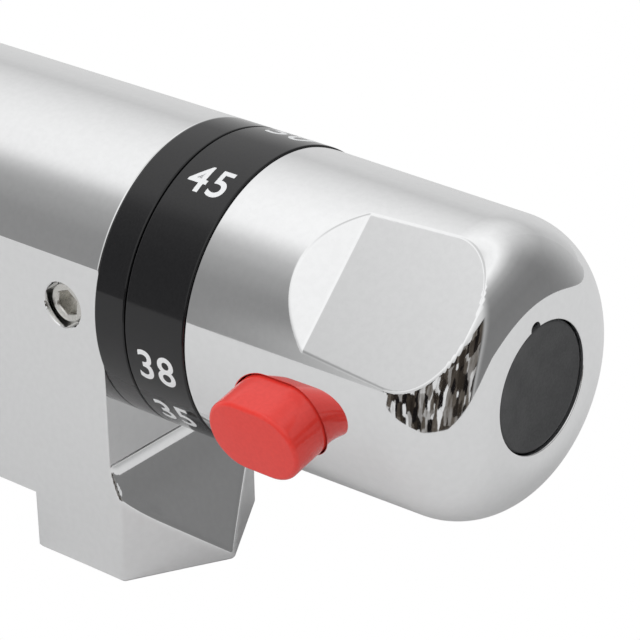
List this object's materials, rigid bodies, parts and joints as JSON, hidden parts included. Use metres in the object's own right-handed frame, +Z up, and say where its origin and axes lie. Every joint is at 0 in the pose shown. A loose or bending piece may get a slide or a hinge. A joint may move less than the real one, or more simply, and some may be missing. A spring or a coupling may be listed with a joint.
{
  "type": "thermostatic shower mixer",
  "caption": "Chromed bar mixer for a shower: a temperature handle with a dial and a safety button at one end, a flow handle at the other, threaded inlets and an outlet below.",
  "frame": {"origin": "centre of the outlet's mouth, below the middle of the bar", "axes": "+X along the bar towards the temperature handle, -Y out of the flat front, +Z up; the outlet points down -Z"},
  "size_m": [0.3024, 0.0564, 0.0727],
  "materials": {
    "chrome": "polished",
    "steel": "satin",
    "black_gloss": "gloss",
    "black_satin": "satin",
    "red_gloss": "gloss",
    "seal_rubber": "matte",
    "brass": "machined",
    "inner_plastic": "satin",
    "valve_plastic": "satin",
    "ceramic": "lapped"
  },
  "bodies": {
    "valve": {"valve_body": "chrome", "outlet_nipple": "chrome", "outlet_seal": "seal_rubber", "temperature_lock_screw": "steel", "flow_lock_screw": "steel", "temperature_fixed_ring": "black_gloss", "flow_fixed_ring": "black_gloss", "stop_ring": "inner_plastic", "cartridge_nut": "brass", "cartridge_head": "inner_plastic", "cartridge_sleeve": "inner_plastic", "cartridge_seals": "seal_rubber", "return_spring": "steel", "cold_inlet_filter": "valve_plastic", "cold_check_housing": "valve_plastic", "cold_check_spring": "steel", "hot_inlet_filter": "valve_plastic", "hot_check_housing": "valve_plastic", "hot_check_spring": "steel", "headwork_housing": "brass", "headwork_seal": "seal_rubber", "fixed_disc": "ceramic"},
    "temperature_control": {"temperature_dial": "black_gloss", "temperature_handle": "chrome", "temperature_hub": "inner_plastic", "temperature_handle_screw": "steel", "temperature_cap": "black_satin", "button_spring": "steel", "temperature_spindle": "brass"},
    "button": {"safety_button": "red_gloss"},
    "regulator": {"shuttle": "inner_plastic", "wax_element": "brass", "thrust_cap": "inner_plastic", "spring_carrier": "inner_plastic", "overload_spring": "steel"},
    "flow_control": {"flow_ring": "black_gloss", "flow_handle": "chrome", "flow_hub": "inner_plastic", "flow_handle_screw": "steel", "flow_cap": "black_satin", "turning_disc": "ceramic", "flow_spindle": "brass", "stem_seal": "seal_rubber"},
    "cold_check": {"cold_check_poppet": "valve_plastic"},
    "hot_check": {"hot_check_poppet": "valve_plastic"}
  },
  "joints": [
    {"name": "temperature_turn", "type": "hinge", "parent": "valve", "child": "temperature_control", "pos_m": [0.08275, 0.0069, 0.0472], "axis": [1, 0, 0], "range_deg": [-150, 124]},
    {"name": "regulator_slide", "type": "slide", "parent": "valve", "child": "regulator", "axis": [1, 0, 0], "range_m": [-0.0005, 0.0005], "deforming": ["return_spring"]},
    {"name": "button_press", "type": "slide", "parent": "temperature_control", "child": "button", "axis": [0, 0.9781, 0.2079], "range_m": [0, 0.0025], "stiffness_N_per_m": 700, "springref_m": -0.002, "deforming": ["button_spring"]},
    {"name": "flow_turn", "type": "hinge", "parent": "valve", "child": "flow_control", "pos_m": [-0.08275, 0.0069, 0.0472], "axis": [-1, 0, 0], "range_deg": [0, 90]},
    {"name": "cold_check_lift", "type": "slide", "parent": "valve", "child": "cold_check", "axis": [0, 0, 1], "range_m": [0, 0.0018], "stiffness_N_per_m": 60, "springref_m": -0.002, "deforming": ["cold_check_spring"]},
    {"name": "hot_check_lift", "type": "slide", "parent": "valve", "child": "hot_check", "axis": [0, 0, 1], "range_m": [0, 0.0018], "stiffness_N_per_m": 60, "springref_m": -0.002, "deforming": ["hot_check_spring"]}
  ],
  "couplings": [
    {"joint": "regulator_slide", "follows": "temperature_turn", "m_per_rad": 0.00015915}
  ]
}
